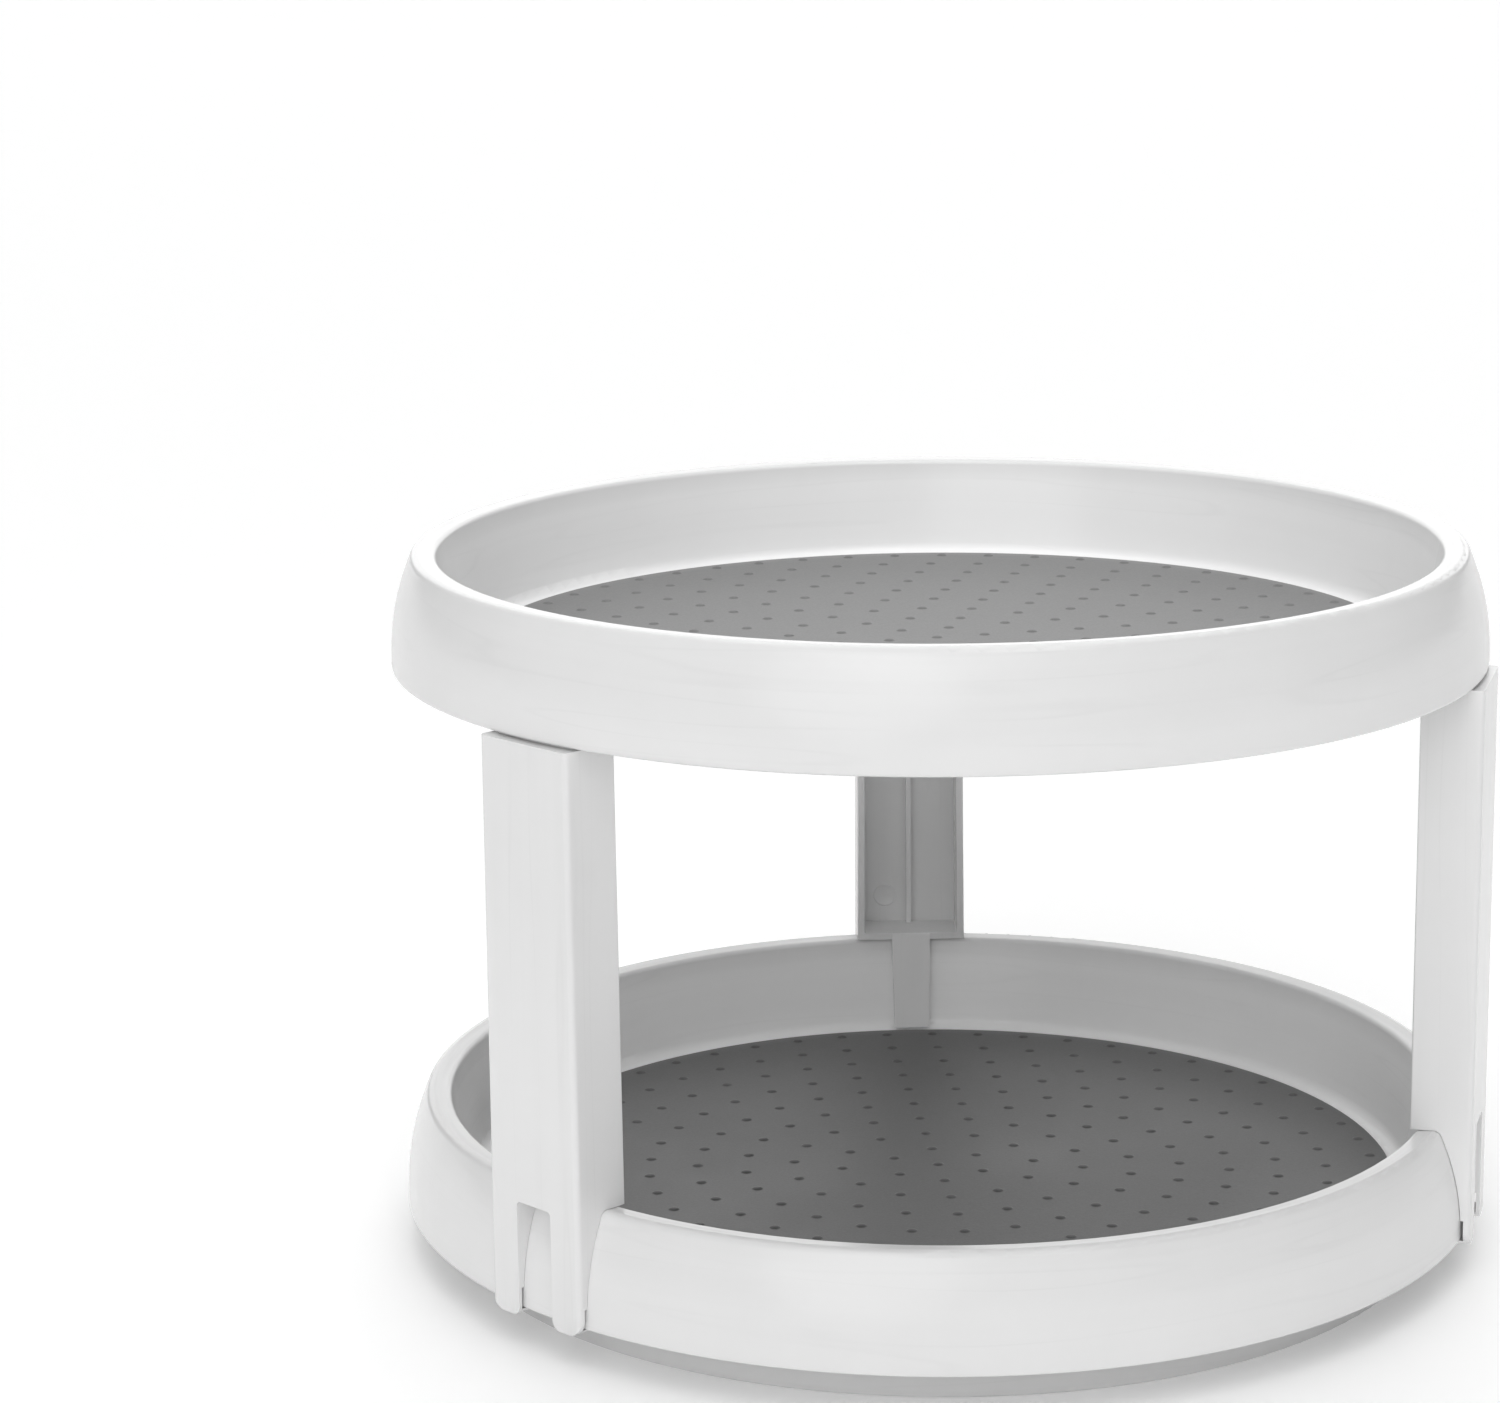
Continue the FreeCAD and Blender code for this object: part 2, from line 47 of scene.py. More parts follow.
# ---------------------------------------------------------------- camera
SENSOR_WIDTH = 36.0
LENS = 95.26
CAMERA_PLACE = (0.0, -1.09016, 0.39731)
PITCH_DOWN = math.radians(12.673)
YAW = math.radians(-2.767)
ROLL = math.radians(-0.742)


def make_camera():
    """Camera at the picture's viewing angle, with no lens shift."""
    ahead = Vector((math.sin(YAW) * math.cos(PITCH_DOWN),
                    math.cos(YAW) * math.cos(PITCH_DOWN),
                    -math.sin(PITCH_DOWN)))
    level = Vector((math.cos(YAW), -math.sin(YAW), 0.0))
    above = level.cross(ahead)
    right = math.cos(ROLL) * level + math.sin(ROLL) * above
    up = math.cos(ROLL) * above - math.sin(ROLL) * level
    data = bpy.data.cameras.new("camera")
    data.lens = LENS
    data.sensor_width = SENSOR_WIDTH
    data.clip_start = 0.05
    data.clip_end = 100.0
    camera = bpy.data.objects.new("camera", data)
    turn = Matrix((right, up, -ahead)).transposed().to_4x4()
    camera.matrix_world = Matrix.Translation(CAMERA_PLACE) @ turn
    scene.collection.objects.link(camera)
    scene.camera = camera


make_camera()

# ---------------------------------------------------------------- light
scene.view_settings.view_transform = "Standard"
scene.view_settings.look = "None"


SIDES_FROM = 0.3                # where the dimming starts, as the sideways share of a direction
SIDES_TO = 0.9


def make_world(middle, sides):
    """White surroundings, dimmer towards both sides."""
    world = bpy.data.worlds.new("studio")
    world.use_nodes = True
    tree = world.node_tree
    shader = tree.nodes["Background"]
    shader.inputs["Color"].default_value = (1.0, 1.0, 1.0, 1.0)
    split = tree.nodes.new("ShaderNodeSeparateXYZ")
    tree.links.new(tree.nodes.new("ShaderNodeTexCoord").outputs["Generated"], split.inputs[0])
    sideways = tree.nodes.new("ShaderNodeMath")
    sideways.operation = "ABSOLUTE"
    tree.links.new(split.outputs["X"], sideways.inputs[0])
    fade = tree.nodes.new("ShaderNodeMapRange")
    fade.inputs["From Min"].default_value = SIDES_FROM
    fade.inputs["From Max"].default_value = SIDES_TO
    fade.inputs["To Min"].default_value = middle
    fade.inputs["To Max"].default_value = sides
    tree.links.new(sideways.outputs[0], fade.inputs["Value"])
    tree.links.new(fade.outputs["Result"], shader.inputs["Strength"])
    scene.world = world


def sun_light(name, toward, strength, spread):
    """Soft light from far away, in the direction of toward."""
    data = bpy.data.lights.new(name, "SUN")
    data.energy = strength
    data.angle = math.radians(spread)
    light = bpy.data.objects.new(name, data)
    light.rotation_euler = Vector(toward).to_track_quat("Z", "Y").to_euler()
    scene.collection.objects.link(light)


AIM = Vector((0.0, 0.0, 0.1))


def disc_light(name, place, diameter, power):
    """Round softbox that shines at the middle of the turntable."""
    data = bpy.data.lights.new(name, "AREA")
    data.shape = "DISK"
    data.size = diameter
    data.energy = power
    light = bpy.data.objects.new(name, data)
    light.location = place
    light.rotation_euler = (Vector(place) - AIM).to_track_quat("Z", "Y").to_euler()
    scene.collection.objects.link(light)


make_world(0.40, 0.22)
sun_light("front_left", (-0.3, -1.0, 0.35), 0.46, 40)
sun_light("front_overhead", (-0.05, -0.8, 0.9), 0.66, 50)
sun_light("overhead", (0.0, 0.0, 1.0), 0.55, 60)
sun_light("behind", (0.0, 1.0, 0.5), 0.85, 60)
disc_light("overhead_box", (0.0, 0.0, 0.60), 0.46, 0.50)

# ---------------------------------------------------------------- node helpers


def new_material(name):
    """Material with its tree and principled shader."""
    material = bpy.data.materials.new(name)
    material.use_nodes = True
    return material, material.node_tree, material.node_tree.nodes["Principled BSDF"]


def add(tree, kind, settings=None, values=None):
    """Shader node with its settings and its unlinked inputs."""
    node = tree.nodes.new("ShaderNode" + kind)
    for key, value in (settings or {}).items():
        setattr(node, key, value)
    for key, value in (values or {}).items():
        node.inputs[key].default_value = value
    return node


def math_node(tree, operation, first, second=None, clamp=False):
    """Output of a math node; first and second are sockets or numbers."""
    node = add(tree, "Math", {"operation": operation, "use_clamp": clamp})
    for socket, value in zip(node.inputs, (first, second)):
        if value is None:
            continue
        if isinstance(value, (int, float)):
            socket.default_value = value
        else:
            tree.links.new(value, socket)
    return node.outputs[0]


def object_place(tree):
    """Position on the object, in metres in the row frame."""
    return add(tree, "TexCoord").outputs["Object"]


def noise(tree, place, scale, detail=3.0, roughness=0.55, stretch=None):
    """Noise value from 0 to 1 at a scale per metre; stretch scales the three axes."""
    if stretch:
        mapping = add(tree, "Mapping", values={"Scale": stretch})
        tree.links.new(place, mapping.inputs["Vector"])
        place = mapping.outputs["Vector"]
    node = add(tree, "TexNoise", values={"Scale": scale, "Detail": detail,
                                         "Roughness": roughness})
    tree.links.new(place, node.inputs["Vector"])
    return node.outputs["Fac"]


def ramp(tree, value, low, high, from_low=0.0, from_high=1.0):
    """Linear change from low to high while value goes from from_low to from_high."""
    node = add(tree, "MapRange", {"clamp": True}, {
        "From Min": from_low, "From Max": from_high, "To Min": low, "To Max": high})
    tree.links.new(value, node.inputs["Value"])
    return node.outputs["Result"]


def around_axis(tree, place):
    """Cosine and sine of the angle round the turning axis, distance from the axis, and height."""
    split = add(tree, "SeparateXYZ")
    tree.links.new(place, split.inputs[0])
    x, y, z = split.outputs
    square = math_node(tree, "ADD", math_node(tree, "MULTIPLY", x, x),
                       math_node(tree, "MULTIPLY", y, y))
    reach = math_node(tree, "SQRT", math_node(tree, "MAXIMUM", square, 1e-8))
    return math_node(tree, "DIVIDE", x, reach), math_node(tree, "DIVIDE", y, reach), reach, z


def long_noise(tree, place, turned, scale, detail, roughness, along):
    """Noise drawn out round the turning axis, or up and down; along is the share of its scale
    left in that direction."""
    if not turned:
        return noise(tree, place, scale, detail, roughness, stretch=(1.0, 1.0, along))
    cosine, sine, reach, z = around_axis(tree, place)
    sweep = RUN_RADIUS * scale * along
    join = add(tree, "CombineXYZ")
    tree.links.new(math_node(tree, "MULTIPLY", reach, scale), join.inputs[0])
    tree.links.new(math_node(tree, "MULTIPLY", z, scale), join.inputs[1])
    tree.links.new(math_node(tree, "MULTIPLY", cosine, sweep), join.inputs[2])
    node = add(tree, "TexNoise", {"noise_dimensions": "4D"},
               {"Scale": 1.0, "Detail": detail, "Roughness": roughness})
    tree.links.new(join.outputs[0], node.inputs["Vector"])
    tree.links.new(math_node(tree, "MULTIPLY", sine, sweep), node.inputs["W"])
    return node.outputs["Fac"]


def grey_between(tree, value, dark, light):
    """Colour between two greys, by a value from 0 to 1."""
    node = add(tree, "Mix", {"data_type": "RGBA"})
    tree.links.new(value, node.inputs["Factor"])
    node.inputs[6].default_value = (dark, dark, dark, 1.0)
    node.inputs[7].default_value = (light, light, light, 1.0)
    return node.outputs[2]


def darken(tree, colour, amount):
    """Colour multiplied by a grey amount."""
    node = add(tree, "Mix", {"data_type": "RGBA", "blend_type": "MULTIPLY"}, {"Factor": 1.0})
    tree.links.new(colour, node.inputs[6])
    tree.links.new(amount, node.inputs[7])
    return node.outputs[2]


def bump(tree, height, strength, distance, below=None):
    """Bump node on top of an optional other bump."""
    node = add(tree, "Bump", values={"Strength": strength, "Distance": distance})
    tree.links.new(height, node.inputs["Height"])
    if below is not None:
        tree.links.new(below, node.inputs["Normal"])
    return node.outputs["Normal"]


# ---------------------------------------------------------------- materials


def near(tree, value, target, width):
    """1 where value is at target, falling smoothly to 0 at width away."""
    gap = math_node(tree, "ABSOLUTE", math_node(tree, "SUBTRACT", value, target))
    return ramp(tree, gap, 1.0, 0.0, 0.0, width)


def most(tree, values):
    """The largest of several values."""
    total = values[0]
    for value in values[1:]:
        total = math_node(tree, "MAXIMUM", total, value)
    return total


def hairlines(tree, field, width):
    """Thin lines where a noise passes its middle value."""
    gap = math_node(tree, "ABSOLUTE", math_node(tree, "SUBTRACT", field, 0.5))
    return ramp(tree, gap, 1.0, 0.0, 0.0, width)


SPECK_CORE = 0.02               # a speck's dark middle and its soft edge, in cells
SPECK_EDGE = 0.06


def specks(tree, place, scale, share):
    """Sparse round specks, at most one in each cell of a scale per metre."""
    cells = add(tree, "TexVoronoi", {"feature": "F1"}, {"Scale": scale, "Randomness": 1.0})
    tree.links.new(place, cells.inputs["Vector"])
    split = add(tree, "SeparateColor")
    tree.links.new(cells.outputs["Color"], split.inputs[0])
    chosen = math_node(tree, "LESS_THAN", split.outputs[0], share)
    spot = ramp(tree, cells.outputs["Distance"], 1.0, 0.0, SPECK_CORE, SPECK_EDGE)
    return math_node(tree, "MULTIPLY", spot, chosen)


# Scales of noise are per metre. What is called ALONG is the share of a scale that is left round
# the turning axis, or up and down; what is called FROM and TO are values of a noise.
CLOUD_SCALE = 18.0
CLOUD_SHARE = 0.6               # of the mottle; flow lines have the rest
FLOW_SCALE = 160.0
FLOW_ALONG = 0.03
MOTTLE_CONTRAST = 0.035         # how far the colour strays to either side
SCRATCH_SCALE = 130.0
SCRATCH_WIDTH = 0.02
SCRATCH_PATCH_SCALE = 26.0
SCUFF_SCALE = 240.0
WEAR_ALONG = 0.05               # of scratches and scuffs
SPECK_SCALE = 70.0
SPECK_SHARE = 0.06              # of the cells that hold a speck
SCRATCH_DIRT = 0.12             # how dark each kind of wear is
SCUFF_DIRT = 0.4
SPECK_DIRT = 0.8
DIRT_SHADE = 0.6                # colour left where dirt is 1
DIRT_DULLS = 0.5                # what dirt adds to the value that sets roughness
WIPED_SCALE = 11.0
ROUGHNESS_SPREAD = 0.09         # from the glossiest to the dullest patch
WAVE_SCALE = 22.0
PEEL_SCALE = 700.0
RUN_RADIUS = 0.15               # where arc length round the axis is true
OUTSIDE_LIP_PAINTED_SHADE = 0.86            # painted shade: share of the colour kept outside the rim's lip, fitted
OUTSIDE_LIP_PAINTED_SHADE_FROM = 138.3 * MM
OUTSIDE_LIP_PAINTED_SHADE_TO = 139.8 * MM
RIM_PAINTED_SHADE = 0.94                # more painted shade on top of that along the rim, fitted
RIM_REACH = 143.0 * MM
RIM_REACH_WIDTH = 5.0 * MM
PLASTIC_IOR = 1.49


def plastic_colour(tree, place, light, turned, reach):
    """Colour of clean plastic: faint clouding and flow lines, with painted shade outside the rim's
    lip and more along the rim.
    """
    cloud = noise(tree, place, CLOUD_SCALE, 4.0)
    flow = long_noise(tree, place, turned, FLOW_SCALE, 2.0, 0.5, FLOW_ALONG)
    mottle = math_node(tree, "ADD", math_node(tree, "MULTIPLY", cloud, CLOUD_SHARE),
                       math_node(tree, "MULTIPLY", flow, 1 - CLOUD_SHARE))
    colour = grey_between(tree, ramp(tree, mottle, 0.0, 1.0, 0.2, 0.8),
                          light * (1 - MOTTLE_CONTRAST), light * (1 + MOTTLE_CONTRAST))
    if turned:
        # painted shade outside the rim's lip, then more painted shade along the rim
        colour = darken(tree, colour,
                        ramp(tree, reach, 1.0, OUTSIDE_LIP_PAINTED_SHADE, OUTSIDE_LIP_PAINTED_SHADE_FROM, OUTSIDE_LIP_PAINTED_SHADE_TO))
        rim = near(tree, reach, RIM_REACH, RIM_REACH_WIDTH)
        colour = darken(tree, colour, ramp(tree, rim, 1.0, RIM_PAINTED_SHADE))
    return colour


def moulded_plastic(name, light, roughness, turned, worn_heights, worn_width, peel=0.05):
    """Moulded plastic: faint clouding and flow lines, fine orange peel, hairline scratches,
    specks, and scuffs at the worn heights.

    turned says whether flow and scratches run round the turning axis or up and down; a turned
    piece gets painted shade outside its rim's lip and along the rim."""
    material, tree, shader = new_material(name)
    place = object_place(tree)
    _, _, reach, z = around_axis(tree, place)
    colour = plastic_colour(tree, place, light, turned, reach)

    patches = ramp(tree, noise(tree, place, SCRATCH_PATCH_SCALE, 2.0), 0.0, 1.0, 0.3, 0.9)
    strokes = long_noise(tree, place, turned, SCRATCH_SCALE, 1.0, 0.4, WEAR_ALONG)
    fine = math_node(tree, "MULTIPLY", hairlines(tree, strokes, SCRATCH_WIDTH), patches)
    worn = most(tree, [near(tree, z, height, worn_width) for height in worn_heights])
    broken = long_noise(tree, place, turned, SCUFF_SCALE, 3.0, 0.6, WEAR_ALONG)
    rub = math_node(tree, "MULTIPLY", worn, ramp(tree, broken, 0.0, 1.0, 0.45, 0.8))
    spot = specks(tree, place, SPECK_SCALE, SPECK_SHARE)
    dirt = most(tree, [math_node(tree, "MULTIPLY", fine, SCRATCH_DIRT),
                       math_node(tree, "MULTIPLY", rub, SCUFF_DIRT),
                       math_node(tree, "MULTIPLY", spot, SPECK_DIRT)])
    tree.links.new(darken(tree, colour, ramp(tree, dirt, 1.0, DIRT_SHADE)),
                   shader.inputs["Base Color"])

    wiped = noise(tree, place, WIPED_SCALE, 3.0, 0.5)
    dulled = math_node(tree, "ADD", wiped, math_node(tree, "MULTIPLY", dirt, DIRT_DULLS))
    tree.links.new(ramp(tree, dulled, roughness, roughness + ROUGHNESS_SPREAD, 0.2, 0.8),
                   shader.inputs["Roughness"])
    shader.inputs["IOR"].default_value = PLASTIC_IOR

    wave = bump(tree, noise(tree, place, WAVE_SCALE, 1.0), 0.15, 0.5 * MM)
    skin = bump(tree, noise(tree, place, PEEL_SCALE, 1.0), peel, 0.2 * MM, wave)
    tree.links.new(bump(tree, rub, 0.1, -0.03 * MM, skin), shader.inputs["Normal"])
    return material


MAT_CLOUD_SCALE = 20.0
GRAIN_SCALE = 1500.0            # colour grain
TEXTURE_SCALE = 1300.0          # raised grain
DUST_PATCH_SCALE = 9.0
DUST_GRAIN_SCALE = 700.0
DUST_COVER = 0.3
DUST_GREY = 0.36
DUST_DULLS = 0.2                # what dust adds to roughness
MAT_ROUGHNESS = 0.5
MAT_SHEEN = 0.1
MAT_WAVE_SCALE = 26.0
RUBBER_IOR = 1.5
MAT_THICKNESS = 1.2 * MM        # without the dots
DOT_PAINTED_SHADE_FROM = 0.03 * MM      # heights over the sheet where the dots' painted shade starts and is full
DOT_PAINTED_SHADE_TO = 0.15 * MM


def mat_rubber(name, light, sheet_top=None, dot_painted_shade=1.0):
    """Soft grey rubber: fine grain, faint clouding and a little dust; what stands above sheet_top,
    the dots, is darker by painted shade, a share given by the last argument."""
    material, tree, shader = new_material(name)
    place = object_place(tree)
    cloud = noise(tree, place, MAT_CLOUD_SCALE, 5.0, 0.6)
    speck = noise(tree, place, GRAIN_SCALE, 3.0, 0.6)
    mottle = math_node(tree, "ADD", math_node(tree, "MULTIPLY", cloud, 0.5),
                       math_node(tree, "MULTIPLY", speck, 0.5))
    colour = grey_between(tree, ramp(tree, mottle, 0.0, 1.0, 0.3, 0.7), light * 0.80, light * 1.18)
    dust = math_node(tree, "MULTIPLY",
                     ramp(tree, noise(tree, place, DUST_PATCH_SCALE, 5.0, 0.7),
                          0.0, 1.0, 0.45, 0.85),
                     ramp(tree, noise(tree, place, DUST_GRAIN_SCALE, 4.0, 0.7),
                          0.0, 1.0, 0.4, 0.8))
    dusty = add(tree, "Mix", {"data_type": "RGBA"})
    tree.links.new(math_node(tree, "MULTIPLY", dust, DUST_COVER), dusty.inputs["Factor"])
    tree.links.new(colour, dusty.inputs[6])
    dusty.inputs[7].default_value = (DUST_GREY, DUST_GREY, DUST_GREY, 1.0)
    colour = dusty.outputs[2]
    if sheet_top is not None:
        _, _, _, z = around_axis(tree, place)
        # painted shade on the dots
        colour = darken(tree, colour, ramp(tree, z, 1.0, dot_painted_shade,
                                           sheet_top + DOT_PAINTED_SHADE_FROM, sheet_top + DOT_PAINTED_SHADE_TO))
    tree.links.new(colour, shader.inputs["Base Color"])
    gloss = ramp(tree, cloud, MAT_ROUGHNESS - 0.06, MAT_ROUGHNESS + 0.08, 0.25, 0.75)
    dulled = math_node(tree, "MULTIPLY", dust, DUST_DULLS)
    tree.links.new(math_node(tree, "ADD", gloss, dulled, clamp=True), shader.inputs["Roughness"])
    shader.inputs["IOR"].default_value = RUBBER_IOR
    shader.inputs["Sheen Weight"].default_value = MAT_SHEEN
    shader.inputs["Sheen Roughness"].default_value = 0.5
    waves = bump(tree, noise(tree, place, MAT_WAVE_SCALE, 2.0), 0.3, 0.6 * MM)
    tree.links.new(bump(tree, noise(tree, place, TEXTURE_SCALE, 3.0, 0.6), 0.25, 0.15 * MM, waves),
                   shader.inputs["Normal"])
    return material


def metal(name, light, roughness, streaks):
    """Bright metal with fine tool marks."""
    material, tree, shader = new_material(name)
    place = object_place(tree)
    marks = noise(tree, place, streaks, 3.0, 0.6, stretch=(1.0, 1.0, 0.2))
    colour = grey_between(tree, marks, light * 0.85, light)
    tree.links.new(colour, shader.inputs["Base Color"])
    tree.links.new(ramp(tree, marks, roughness * 0.7, roughness * 1.5, 0.3, 0.7),
                   shader.inputs["Roughness"])
    shader.inputs["Metallic"].default_value = 1.0
    tree.links.new(bump(tree, marks, 0.08, 0.05 * MM), shader.inputs["Normal"])
    return material


WHITE = 0.955                   # the trays' white
# the legs get the trays' white with painted shade, 14.5 percent darker
LEG_WHITE = WHITE * 0.855
lower_tray_low, lower_tray_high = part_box("lower_tray")
upper_tray_low, upper_tray_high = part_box("upper_tray")
leg_low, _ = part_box("left_leg")
CUP_DROP = 3.0 * MM             # how far a tray's hub goes below its bottom edge
tray_wear = [lower_tray_low[2] + CUP_DROP, lower_tray_high[2], upper_tray_low[2] + CUP_DROP,
             upper_tray_high[2]]
base_low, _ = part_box("base_plate")
white_tray = moulded_plastic("white_tray_plastic", WHITE, 0.17, True, tray_wear, 1.6 * MM)
white_leg = moulded_plastic("white_leg_plastic", LEG_WHITE, 0.18, False,
                            [leg_low[2]], 5.0 * MM)
base_plastic = moulded_plastic("base_plastic", 0.76, 0.34, True,
                               [base_low[2]], 2.0 * MM, peel=0.1)
cage_plastic = moulded_plastic("cage_plastic", 0.76, 0.38, True,
                               [base_low[2]], 1.0 * MM, peel=0.1)
mat_finish = {}
for mat_name, mat_light, dot_painted_shade in (("lower_mat", 0.106, 0.74), ("upper_mat", 0.178, 0.86)):
    # greys fitted to each mat, though both are the same moulding: the lower mat's darker grey is
    # painted shade under the upper tray, the upper mat's lighter grey is painted light; the dots'
    # painted shade differs too
    mat_finish[mat_name] = mat_rubber(mat_name + "_rubber", mat_light,
                                      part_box(mat_name)[0][2] + MAT_THICKNESS, dot_painted_shade)
pad_rubber = mat_rubber("pad_rubber", 0.30)
ball_steel = metal("ball_steel", 0.78, 0.08, 900.0)
plated_steel = metal("plated_steel", 0.66, 0.17, 2500.0)


def finish_for(name):
    """Material for a CAD node."""
    if name in mat_finish:
        return mat_finish[name]
    for word, material in (("tray", white_tray), ("leg", white_leg), ("base", base_plastic),
                           ("cage", cage_plastic), ("pad", pad_rubber),
                           ("ball_", ball_steel), ("pivot", plated_steel)):
        if word in name:
            return material
    return white_tray


for node_name, node in nodes.items():
    node.data.materials.clear()
    node.data.materials.append(finish_for(node_name))

# ---------------------------------------------------------------- floor


FLOOR_HALF_WIDTH = 20.0
FLOOR_DARK = 0.95
FLOOR_LIGHT = 0.98
FLOOR_GLOW = 0.17               # keeps the paper white up to the horizon


def make_floor():
    """Plain pale floor with a faint paper grain."""
    mesh = bpy.data.meshes.new("floor")
    half = FLOOR_HALF_WIDTH
    corners = [(-half, -half, 0), (half, -half, 0), (half, half, 0), (-half, half, 0)]
    mesh.from_pydata(corners, [], [(0, 1, 2, 3)])
    floor = bpy.data.objects.new("floor", mesh)
    scene.collection.objects.link(floor)
    material, tree, shader = new_material("floor_paper")
    place = object_place(tree)
    fibre = noise(tree, place, 700.0, 4.0, 0.6)
    tree.links.new(grey_between(tree, fibre, FLOOR_DARK, FLOOR_LIGHT), shader.inputs["Base Color"])
    shader.inputs["Roughness"].default_value = 0.85
    shader.inputs["Emission Color"].default_value = (1.0, 1.0, 1.0, 1.0)
    shader.inputs["Emission Strength"].default_value = FLOOR_GLOW
    tree.links.new(bump(tree, fibre, 0.05, 0.2 * MM), shader.inputs["Normal"])
    mesh.materials.append(material)


make_floor()

# ---------------------------------------------------------------- mats
MAT_EDGE_ROUND = 0.4 * MM
MAT_LOWER_EDGE = 0.15 * MM      # broken edge underneath
DOT_RINGS = 9
DOTS_IN_FIRST_RING = 6
DOT_PITCH = 13.9 * MM
DOT_FOOT = 1.7 * MM             # radius where a dot meets the sheet
DOT_SKIRT = 2.0 * MM            # radius of the flat ring kept round a dot
DOT_SIDES = 18
MAT_SIDES = 240
MAT_TURN = {"lower_mat": -22.5, "upper_mat": 16.0}     # degrees
DOT_PROFILE = ((1.0, 0.0), (0.95, 0.03), (0.88, 0.14), (0.80, 0.34), (0.70, 0.56), (0.56, 0.76),
               (0.38, 0.91), (0.19, 0.98))  # shares of the dot's foot radius and height


def dot_centres(turn):
    """Centres of the raised dots, in rings with six more dots each."""
    centres = [(0.0, 0.0)]
    for ring_index in range(1, DOT_RINGS + 1):
        count = DOTS_IN_FIRST_RING * ring_index
        for step in range(count):
            angle = math.radians(turn) + 2 * math.pi * step / count
            reach = DOT_PITCH * ring_index
            centres.append((reach * math.cos(angle), reach * math.sin(angle)))
    return centres


def circle_points(centre, radius, sides):
    """Points evenly round a centre."""
    return [Vector((centre[0] + radius * math.cos(2 * math.pi * i / sides),
                    centre[1] + radius * math.sin(2 * math.pi * i / sides)))
            for i in range(sides)]


def make_mat(name, node_name):
    """Sheet with rounded edge and raised round dots that grow out of it, as one closed mesh."""
    low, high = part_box(node_name)
    radius = (high[0] - low[0]) / 2
    top = low[2] + MAT_THICKNESS
    dot_height = high[2] - top
    flat_radius = radius - MAT_EDGE_ROUND
    centres = dot_centres(MAT_TURN[node_name])
    loops = [circle_points((0.0, 0.0), flat_radius, MAT_SIDES)]
    loops += [circle_points(centre, DOT_SKIRT, DOT_SIDES) for centre in centres]
    flat, edges = [], []
    for loop in loops:
        start = len(flat)
        flat += loop
        edges += [(start + i, start + (i + 1) % len(loop)) for i in range(len(loop))]
    points, _, faces, _, _, _ = geometry.delaunay_2d_cdt(flat, edges, [], 0, 1e-7)
    inside_dot = (DOT_SKIRT * 0.98) ** 2
    cell = DOT_PITCH / 2
    by_cell = {}
    for centre in centres:
        key = (round(centre[0] / cell), round(centre[1] / cell))
        by_cell.setdefault(key, []).append(centre)

    def in_a_dot(x, y):
        """Whether a place on the sheet is inside one of the dots."""
        cell_x, cell_y = round(x / cell), round(y / cell)
        for i in (-1, 0, 1):
            for j in (-1, 0, 1):
                for cx, cy in by_cell.get((cell_x + i, cell_y + j), ()):
                    if (x - cx) ** 2 + (y - cy) ** 2 < inside_dot:
                        return True
        return False

    vertices = [(p.x, p.y, top) for p in points]
    polygons = []
    for face in faces:
        x = sum(points[i].x for i in face) / len(face)
        y = sum(points[i].y for i in face) / len(face)
        if not in_a_dot(x, y) and x * x + y * y < flat_radius * flat_radius:
            polygons.append(tuple(face))
    start = MAT_SIDES
    for centre in centres:
        below = [start + i for i in range(DOT_SIDES)]
        start += DOT_SIDES
        for share, rise in DOT_PROFILE:
            ring_start = len(vertices)
            for p in circle_points(centre, DOT_FOOT * share, DOT_SIDES):
                vertices.append((p.x, p.y, top + dot_height * rise))
            here = [ring_start + i for i in range(DOT_SIDES)]
            polygons += [(below[i], below[(i + 1) % DOT_SIDES], here[(i + 1) % DOT_SIDES], here[i])
                         for i in range(DOT_SIDES)]
            below = here
        vertices.append((centre[0], centre[1], top + dot_height))
        crown = len(vertices) - 1
        polygons += [(below[i], below[(i + 1) % DOT_SIDES], crown) for i in range(DOT_SIDES)]
    below = list(range(MAT_SIDES))
    rim = [(flat_radius + MAT_EDGE_ROUND * math.sin(math.radians(a)),
            top - MAT_EDGE_ROUND * (1 - math.cos(math.radians(a)))) for a in (30, 60, 90)]
    rim += [(radius, low[2] + MAT_LOWER_EDGE), (radius - MAT_LOWER_EDGE, low[2])]
    for reach, z in rim:
        ring_start = len(vertices)
        vertices += [(p.x, p.y, z) for p in circle_points((0.0, 0.0), reach, MAT_SIDES)]
        here = [ring_start + i for i in range(MAT_SIDES)]
        polygons += [(below[i], here[i], here[(i + 1) % MAT_SIDES], below[(i + 1) % MAT_SIDES])
                     for i in range(MAT_SIDES)]
        below = here
    polygons.append(tuple(reversed(below)))
    mesh = bpy.data.meshes.new(name)
    mesh.from_pydata(vertices, [], polygons)
    mesh.validate()
    mesh.polygons.foreach_set("use_smooth", [True] * len(mesh.polygons))
    piece = bpy.data.objects.new(name, mesh)
    scene.collection.objects.link(piece)
    mesh.materials.append(mat_finish[node_name])
    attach(piece, "carousel")
    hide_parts(node_name)


make_mat("lower_mat_sheet", "lower_mat")
make_mat("upper_mat_sheet", "upper_mat")

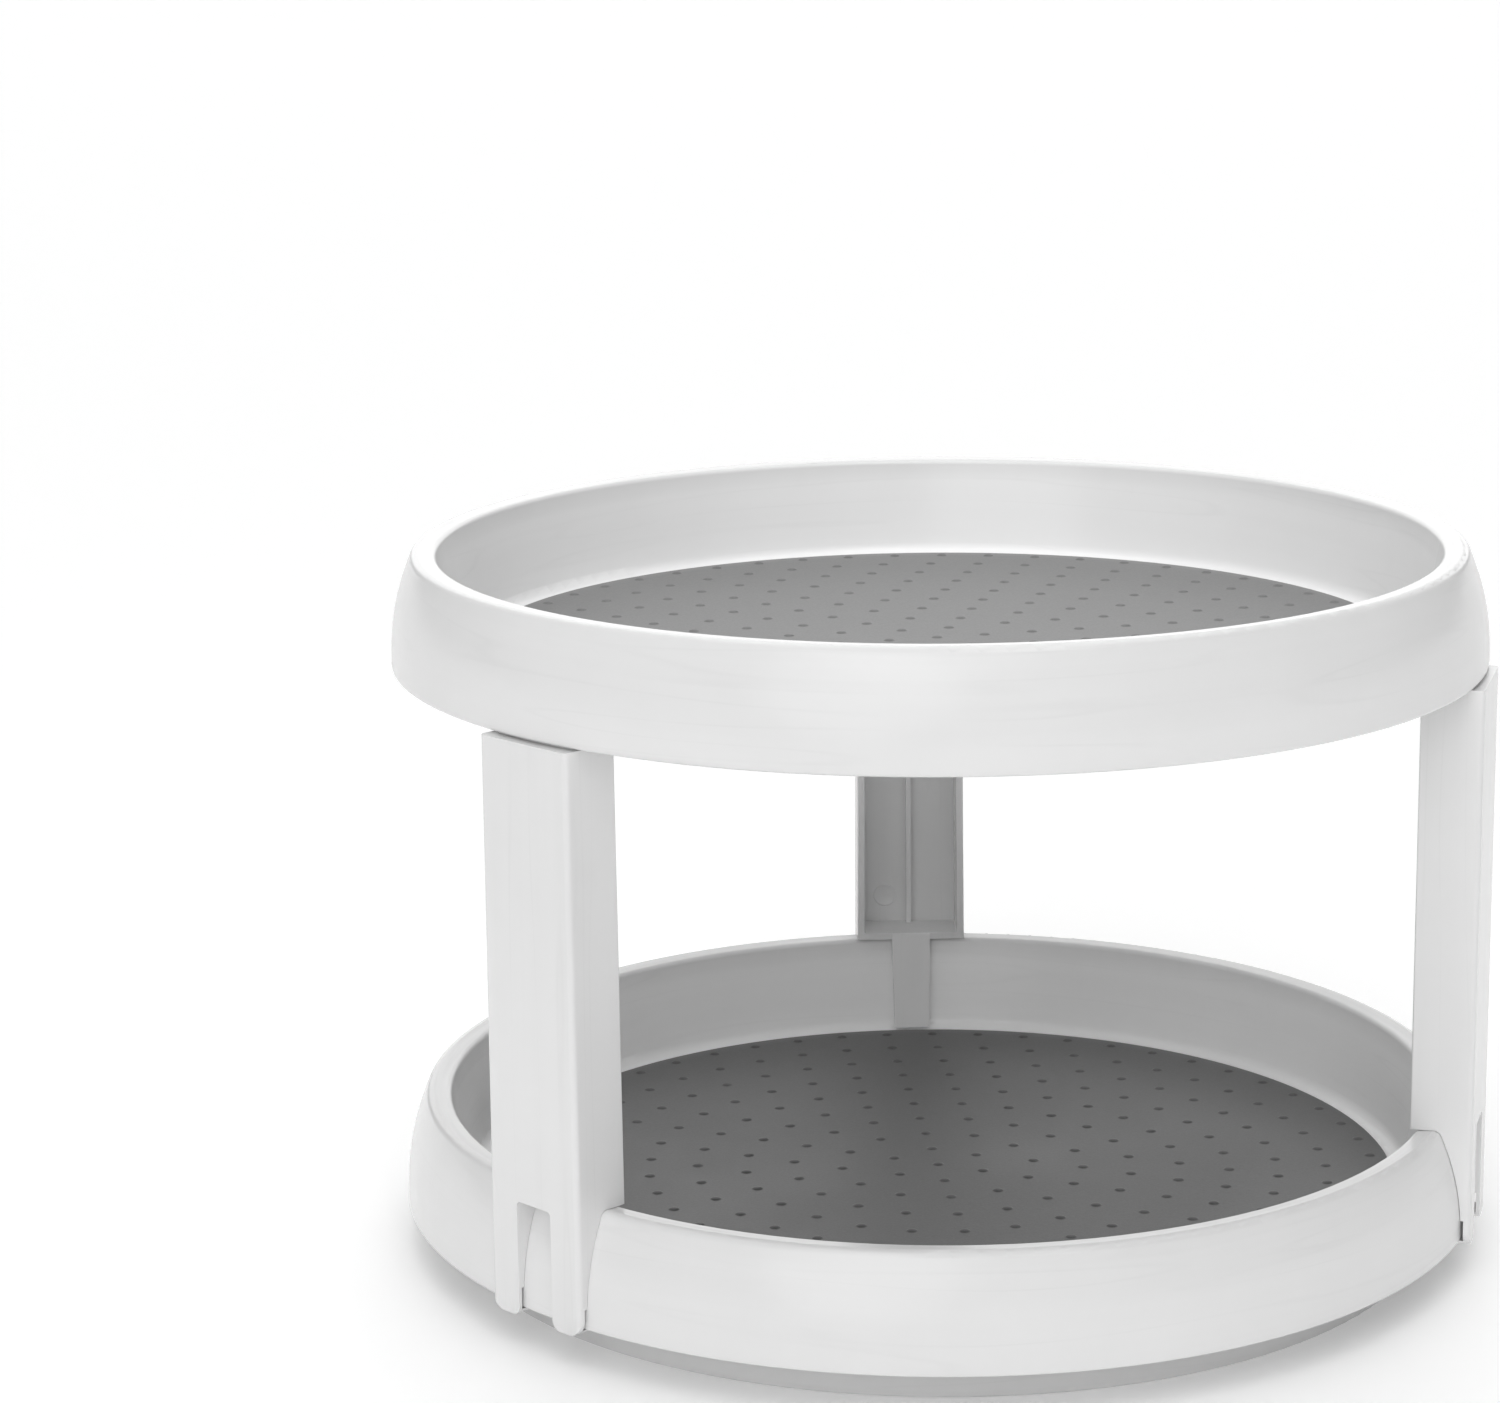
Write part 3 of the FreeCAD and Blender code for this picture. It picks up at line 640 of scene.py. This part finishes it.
# ---------------------------------------------------------------- leg details
LEG_AZIMUTH = {"rear_leg": 93.6, "left_leg": 226.7, "right_leg": 346.0}     # degrees
CHANNEL_BACK_RADIUS = 151.8 * MM     # the channel's back wall, from the axis
MARK_ACROSS = 7.6 * MM               # the mark's centre, sideways from the spine
MARK_ABOVE_FOOT = 43.6 * MM
# radius and height above the wall, in mm
MARK_PROFILE = ((2.9, 0.02), (3.15, 0.14), (3.4, 0.18), (3.6, 0.12), (3.7, -0.05))
MARK_SIDES = 40


def make_ejector_mark(leg_name):
    """Shallow disc with a raised lip, left by an ejector pin on the channel's back wall."""
    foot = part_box(leg_name)[0][2]
    turn = Matrix.Rotation(math.radians(LEG_AZIMUTH[leg_name]), 3, "Z")
    rings = []
    for reach, proud in MARK_PROFILE:
        ring = []
        for i in range(MARK_SIDES):
            angle = 2 * math.pi * i / MARK_SIDES
            ring.append(turn @ Vector((CHANNEL_BACK_RADIUS - proud * MM,
                                       MARK_ACROSS + reach * MM * math.cos(angle),
                                       foot + MARK_ABOVE_FOOT + reach * MM * math.sin(angle))))
        rings.append(ring)
    vertices = [point for ring in rings for point in ring]
    polygons = [tuple(range(MARK_SIDES))]
    for k in range(len(rings) - 1):
        near_start, far_start = k * MARK_SIDES, (k + 1) * MARK_SIDES
        for i in range(MARK_SIDES):
            j = (i + 1) % MARK_SIDES
            polygons.append((near_start + j, near_start + i, far_start + i, far_start + j))
    last = (len(rings) - 1) * MARK_SIDES
    polygons.append(tuple(last + i for i in reversed(range(MARK_SIDES))))
    mesh = bpy.data.meshes.new(leg_name + "_ejector_mark")
    mesh.from_pydata(vertices, [], polygons)
    mesh.validate()
    shape = bmesh.new()
    shape.from_mesh(mesh)
    bmesh.ops.recalc_face_normals(shape, faces=shape.faces)
    shape.to_mesh(mesh)
    shape.free()
    mesh.polygons.foreach_set("use_smooth", [True] * len(mesh.polygons))
    piece = bpy.data.objects.new(leg_name + "_ejector_mark", mesh)
    scene.collection.objects.link(piece)
    mesh.materials.append(white_leg)
    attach(piece, "carousel")


for leg_name in LEG_AZIMUTH:
    make_ejector_mark(leg_name)
